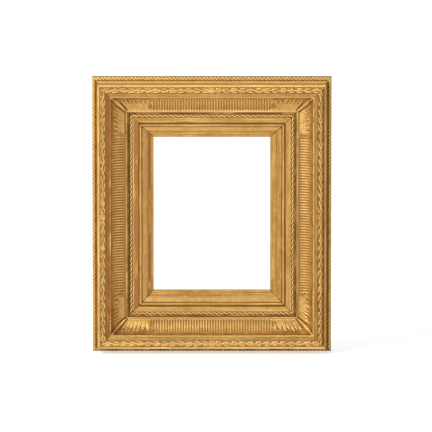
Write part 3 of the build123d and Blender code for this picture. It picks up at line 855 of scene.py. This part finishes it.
# Colour of dirt and of painted shade in hollows and grooves
GRIME_SHADE_COLOUR = (0.085, 0.038, 0.010)
GOLD_METALLIC = 0.8
DULL_METALLIC = 0.1
PINE_DARK = (0.30, 0.17, 0.075)
PINE_LIGHT = (0.52, 0.34, 0.17)
WELD_DISTANCE = 0.00001       # in metres
ROUND_ANGLE = 40


def add_node(tree, kind, inputs=None, **settings):
    """A shader node with its settings, and its inputs as values or links."""
    node = tree.nodes.new(kind)
    for key, value in settings.items():
        setattr(node, key, value)
    for key, value in (inputs or {}).items():
        if isinstance(value, bpy.types.NodeSocket):
            tree.links.new(value, node.inputs[key])
        else:
            node.inputs[key].default_value = value
    return node


def new_material(name):
    """A material with its node tree and its shader."""
    material = bpy.data.materials.new(name)
    material.use_nodes = True
    tree = material.node_tree
    return material, tree, tree.nodes["Principled BSDF"]


def object_place(tree, stretch=(1, 1, 1)):
    """Place on the object, stretched along its axes."""
    coordinates = add_node(tree, "ShaderNodeTexCoord").outputs["Object"]
    return add_node(tree, "ShaderNodeMapping", {"Vector": coordinates, "Scale": stretch}).outputs[0]


def noise(tree, place, scale, detail, roughness=0.55):
    inputs = {"Vector": place, "Scale": scale, "Detail": detail, "Roughness": roughness}
    return add_node(tree, "ShaderNodeTexNoise", inputs).outputs["Fac"]


def fade(tree, value, low, high, start=0.0, end=1.0):
    """Goes from start to end while a value goes from low to high."""
    inputs = {"Value": value, "From Min": low, "From Max": high, "To Min": start, "To Max": end}
    return add_node(tree, "ShaderNodeMapRange", inputs, clamp=True).outputs[0]


def combined(tree, operation, first, second):
    return add_node(tree, "ShaderNodeMath", {0: first, 1: second}, operation=operation).outputs[0]


def mixed(tree, factor, first, second):
    """A mix of two colours, given as sockets or as linear colours."""
    first = first if isinstance(first, bpy.types.NodeSocket) else (*first, 1)
    second = second if isinstance(second, bpy.types.NodeSocket) else (*second, 1)
    node = add_node(tree, "ShaderNodeMix", {0: factor, 6: first, 7: second}, data_type="RGBA")
    return node.outputs[2]


def attribute(tree, name):
    return add_node(tree, "ShaderNodeAttribute", attribute_name=name).outputs["Fac"]


def bump(tree, height, strength, distance):
    inputs = {"Height": height, "Strength": strength, "Distance": distance}
    return add_node(tree, "ShaderNodeBump", inputs).outputs[0]


def gilding(name, grime_shade_reach, grime_shade_cover, polish_and_highlight=0.75, stretch=(1, 1, 1)):
    """Old satin gilding: mottled leaf, dirt with painted shade in the hollows, and bole on the rubbed
    places.

    The dirt and painted shade grow to the given cover in hollows that are the given reach deep, the
    polish amount is burnish with painted highlight on raised places, and stretch draws out the
    streaks."""
    material, tree, shader = new_material(name)
    place = object_place(tree)
    relief = attribute(tree, "relief")
    cloud = noise(tree, place, 22.0, 5.0)
    patch = noise(tree, place, 90.0, 6.0, 0.65)
    speck = noise(tree, place, 700.0, 3.0)
    streak = noise(tree, object_place(tree, stretch), 420.0, 3.0, 0.6)

    # Gold leaf, mottled and streaked; paler where it is raised and brighter where the bright amount
    # says, both burnish and painted highlight
    gold = mixed(tree, fade(tree, cloud, 0.38, 0.66), GOLD_DEEP, GOLD)
    gold = mixed(tree, fade(tree, patch, 0.48, 0.72, 0.0, 0.7), gold, GOLD_PALE)
    gold = mixed(tree, fade(tree, relief, 0.05, 0.5, 0.0, polish_and_highlight), gold, GOLD_PALE)
    gold = mixed(tree, fade(tree, streak, 0.46, 0.34, 0.0, 0.9), gold, GOLD_DEEP)
    gold = mixed(tree, fade(tree, streak, 0.54, 0.68, 0.0, 0.5), gold, GOLD_BURNISH_HIGHLIGHT)
    patchy = fade(tree, patch, 0.3, 0.6, 0.6, 1.0)
    bright = combined(tree, "MULTIPLY", attribute(tree, "bright"), patchy)
    gold = mixed(tree, bright, gold, GOLD_BURNISH_HIGHLIGHT)

    # Bole in the rubbed places
    worn = combined(tree, "MULTIPLY", attribute(tree, "rub"), fade(tree, cloud, 0.4, 0.6, 0.15, 1.6))
    worn = combined(tree, "ADD", worn, fade(tree, patch, 0.35, 0.75, -0.45, 0.25))
    worn = fade(tree, worn, 0.1, 0.6)
    bole = mixed(tree, fade(tree, speck, 0.4, 0.6, 0.25, 0.75), BOLE, BARE_BOLE)
    colour = mixed(tree, worn, gold, bole)

    # Dirt and painted shade in the hollows, and where the piece says
    grime_and_painted_shade = combined(tree, "ADD", relief, fade(tree, patch, 0.3, 0.7, -0.12, 0.12))
    grime_and_painted_shade = fade(tree, grime_and_painted_shade, -grime_shade_reach, -0.04, grime_shade_cover, 0.0)
    grime_and_painted_shade = combined(tree, "MAXIMUM", grime_and_painted_shade, attribute(tree, "grime_and_shade"))
    colour = mixed(tree, grime_and_painted_shade, colour, GRIME_SHADE_COLOUR)
    tree.links.new(colour, shader.inputs["Base Color"])

    # Sheen, which bole, dirt, painted shade and painted highlight take away, and a fine grain
    dull = combined(tree, "MAXIMUM", worn, grime_and_painted_shade)
    dull = combined(tree, "MAXIMUM", dull, fade(tree, bright, 0, 1, 0.0, 0.5))
    metallic = fade(tree, dull, 0.0, 1.0, GOLD_METALLIC, DULL_METALLIC)
    tree.links.new(metallic, shader.inputs["Metallic"])
    shader.inputs["Specular IOR Level"].default_value = 0.3
    shader.inputs["Specular Tint"].default_value = (1.0, 0.72, 0.4, 1)
    uneven = fade(tree, patch, 0.3, 0.7, 0.36, 0.5)
    rough = combined(tree, "ADD", uneven, fade(tree, dull, 0, 1, 0.0, 0.3))
    tree.links.new(rough, shader.inputs["Roughness"])
    grain = combined(tree, "ADD", speck, fade(tree, patch, 0.2, 0.8, 0.0, 1.2))
    tree.links.new(bump(tree, grain, 0.25, 0.0006), shader.inputs["Normal"])
    return material


def timber(name, dark, light, stretch):
    """Plain wood with growth rings drawn out along the grain."""
    material, tree, shader = new_material(name)
    place = object_place(tree, stretch)
    rings = noise(tree, place, 95.0, 6.0, 0.6)
    fibre = noise(tree, place, 420.0, 3.0)
    age = noise(tree, object_place(tree), 9.0, 4.0)
    colour = mixed(tree, fade(tree, rings, 0.36, 0.64), dark, light)
    colour = mixed(tree, fade(tree, fibre, 0.45, 0.75, 0.0, 0.4), colour, dark)
    stain = tuple(0.5 * level for level in dark)
    colour = mixed(tree, fade(tree, age, 0.5, 0.75, 0.0, 0.55), colour, stain)
    tree.links.new(colour, shader.inputs["Base Color"])
    tree.links.new(fade(tree, fibre, 0.3, 0.7, 0.62, 0.82), shader.inputs["Roughness"])
    tree.links.new(bump(tree, fibre, 0.35, 0.0007), shader.inputs["Normal"])
    return material


def old_metal(name, bright, dull, spots, metallic):
    """Metal with tarnish in clouds and small dark spots."""
    material, tree, shader = new_material(name)
    place = object_place(tree)
    cloud = noise(tree, place, 160.0, 5.0)
    pits = noise(tree, place, 800.0, 4.0)
    colour = mixed(tree, fade(tree, cloud, 0.35, 0.65), bright, dull)
    colour = mixed(tree, fade(tree, pits, 0.58, 0.72, 0.0, 0.8), colour, spots)
    tree.links.new(colour, shader.inputs["Base Color"])
    shader.inputs["Metallic"].default_value = metallic
    tree.links.new(fade(tree, cloud, 0.3, 0.7, 0.3, 0.55), shader.inputs["Roughness"])
    tree.links.new(bump(tree, pits, 0.2, 0.0004), shader.inputs["Normal"])
    return material


def dress(node, material, edge):
    """A CAD node that stays: its material, and a round on its edges, in millimetres."""
    solid = frame["nodes"][node]
    solid.data.materials.clear()
    solid.data.materials.append(material)
    weld = solid.modifiers.new("weld", "WELD")
    weld.merge_threshold = WELD_DISTANCE
    if edge:
        rounding = solid.modifiers.new("round", "BEVEL")
        rounding.width = edge * MM
        rounding.segments = 2
        rounding.limit_method = "ANGLE"
        rounding.angle_limit = math.radians(ROUND_ANGLE)


across_gilt = gilding("gilt_moulding_across", 1.3, 0.35, polish_and_highlight=0.2, stretch=(0.03, 1, 1))
upright_gilt = gilding("gilt_moulding_upright", 1.3, 0.35, polish_and_highlight=0.2, stretch=(1, 1, 0.03))
laurel_gilt = gilding("gilt_laurel", grime_shade_reach=0.5, grime_shade_cover=0.8)
flute_gilt = gilding("gilt_flutes", grime_shade_reach=0.8, grime_shade_cover=0.4)
leaf_gilt = gilding("gilt_leaves", grime_shade_reach=0.6, grime_shade_cover=0.9)
rope_gilt = gilding("gilt_ropes", grime_shade_reach=0.6, grime_shade_cover=0.45)
pine_across = timber("pine_across", PINE_DARK, PINE_LIGHT, stretch=(0.06, 1, 1))
pine_upright = timber("pine_upright", PINE_DARK, PINE_LIGHT, stretch=(1, 1, 0.06))
oak = timber(
    "oak_end_grain", dark=(0.13, 0.065, 0.025), light=(0.27, 0.15, 0.065), stretch=(1, 0.2, 1),
)
iron = old_metal(
    "nail_iron", bright=(0.19, 0.15, 0.12), dull=(0.11, 0.08, 0.06), spots=(0.16, 0.055, 0.02),
    metallic=0.8,
)
brass = old_metal(
    "aged_brass", bright=(0.60, 0.42, 0.17), dull=(0.36, 0.24, 0.09), spots=(0.10, 0.07, 0.03),
    metallic=1.0,
)


# The pieces

for side in SIDES:
    upright = side.name in ("left", "right")
    moulding_gilt = upright_gilt if upright else across_gilt
    edge_moulding(side, moulding_gilt)
    cove_moulding(side, moulding_gilt)
    sight_moulding(side, moulding_gilt)
    rope_strip(OUTER_ROPE, side, rope_gilt)
    rope_strip(INNER_ROPE, side, rope_gilt)
    laurel_band(side, laurel_gilt)
    flute_strip(side, flute_gilt)
    dress(f"back_board_{side.name}", pine_upright if upright else pine_across, edge=0.6)
    dress(f"turn_button_{side.name}", brass, edge=0.35)

for name, near_side, far_side in CORNERS:
    corner_leaf(name, near_side, far_side, leaf_gilt)

for hand in ("left", "right"):
    dress(f"hanger_strap_{hand}", brass, edge=0.2)
    dress(f"hanger_ring_{hand}", brass, edge=0)
dress("corner_pegs", oak, edge=0.3)
dress("moulding_nails", iron, edge=0.2)
dress("turn_button_screws", brass, edge=0.1)
dress("hanger_screws", brass, edge=0.1)


# Studio, in metres

FLOOR_HALF = 9.0
FLOOR_GREY = 0.82
FLOOR_GLOW = 0.55             # makes the floor white to the camera and in reflections
LIT_POINT = (0, 0, 0.3)
SKY_STRENGTH = 0.5


def floor():
    """White floor that fills the picture, keeps the shadow and shows a faint reflection."""
    half = FLOOR_HALF
    mesh = bpy.data.meshes.new("studio_floor")
    corners = [(-half, -half, 0), (half, -half, 0), (half, half, 0), (-half, half, 0)]
    mesh.from_pydata(corners, [], [(0, 1, 2, 3)])
    piece = bpy.data.objects.new("studio_floor", mesh)
    bpy.context.scene.collection.objects.link(piece)
    material, tree, shader = new_material("studio_white")
    shader.inputs["Base Color"].default_value = (FLOOR_GREY, FLOOR_GREY, FLOOR_GREY, 1)
    shader.inputs["Roughness"].default_value = 0.25
    path = add_node(tree, "ShaderNodeLightPath")
    seen = combined(tree, "ADD", path.outputs["Is Camera Ray"], path.outputs["Is Glossy Ray"])
    seen = combined(tree, "ADD", seen, path.outputs["Is Transmission Ray"])
    glow = fade(tree, seen, 0, 1, 0.0, FLOOR_GLOW)
    tree.links.new(glow, shader.inputs["Emission Strength"])
    shader.inputs["Emission Color"].default_value = (1, 1, 1, 1)
    mesh.materials.append(material)


def aim(piece, target):
    """Turns a lamp or camera to look at a point."""
    away = Vector(target) - piece.location
    piece.rotation_euler = away.to_track_quat("-Z", "Y").to_euler()


def lamp(name, place, size, power):
    """A square soft box that faces the frame."""
    data = bpy.data.lights.new(name, "AREA")
    data.size = size
    data.energy = power
    piece = bpy.data.objects.new(name, data)
    bpy.context.scene.collection.objects.link(piece)
    piece.location = place
    aim(piece, LIT_POINT)


floor()
lamp("key_light", (-2.4, -2.3, 2.9), size=1.1, power=128.0)
lamp("fill_light", (0.6, -3.4, 0.1), size=1.6, power=38.0)

world_data = bpy.data.worlds.new("studio")
world_data.use_nodes = True
background = world_data.node_tree.nodes["Background"]
background.inputs["Color"].default_value = (1, 1, 1, 1)
background.inputs["Strength"].default_value = SKY_STRENGTH
bpy.context.scene.world = world_data

# Camera, far off with a long lens, a little above the frame
CAMERA_TILT = math.radians(8)
CAMERA_DISTANCE = 16.0
PICTURE_SPAN = 0.940          # width of the picture at the target
SENSOR_WIDTH = 36.0
target = Vector((0.0090, -0.010, 0.2989))
backward = Vector((0, -math.cos(CAMERA_TILT), math.sin(CAMERA_TILT)))
camera_data = bpy.data.cameras.new("photo_camera")
camera_data.sensor_width = SENSOR_WIDTH
camera_data.lens = SENSOR_WIDTH * CAMERA_DISTANCE / PICTURE_SPAN
camera_data.clip_end = 100.0
camera = bpy.data.objects.new("photo_camera", camera_data)
bpy.context.scene.collection.objects.link(camera)
camera.location = target + CAMERA_DISTANCE * backward
aim(camera, target)
bpy.context.scene.camera = camera
bpy.context.scene.view_settings.view_transform = "Standard"
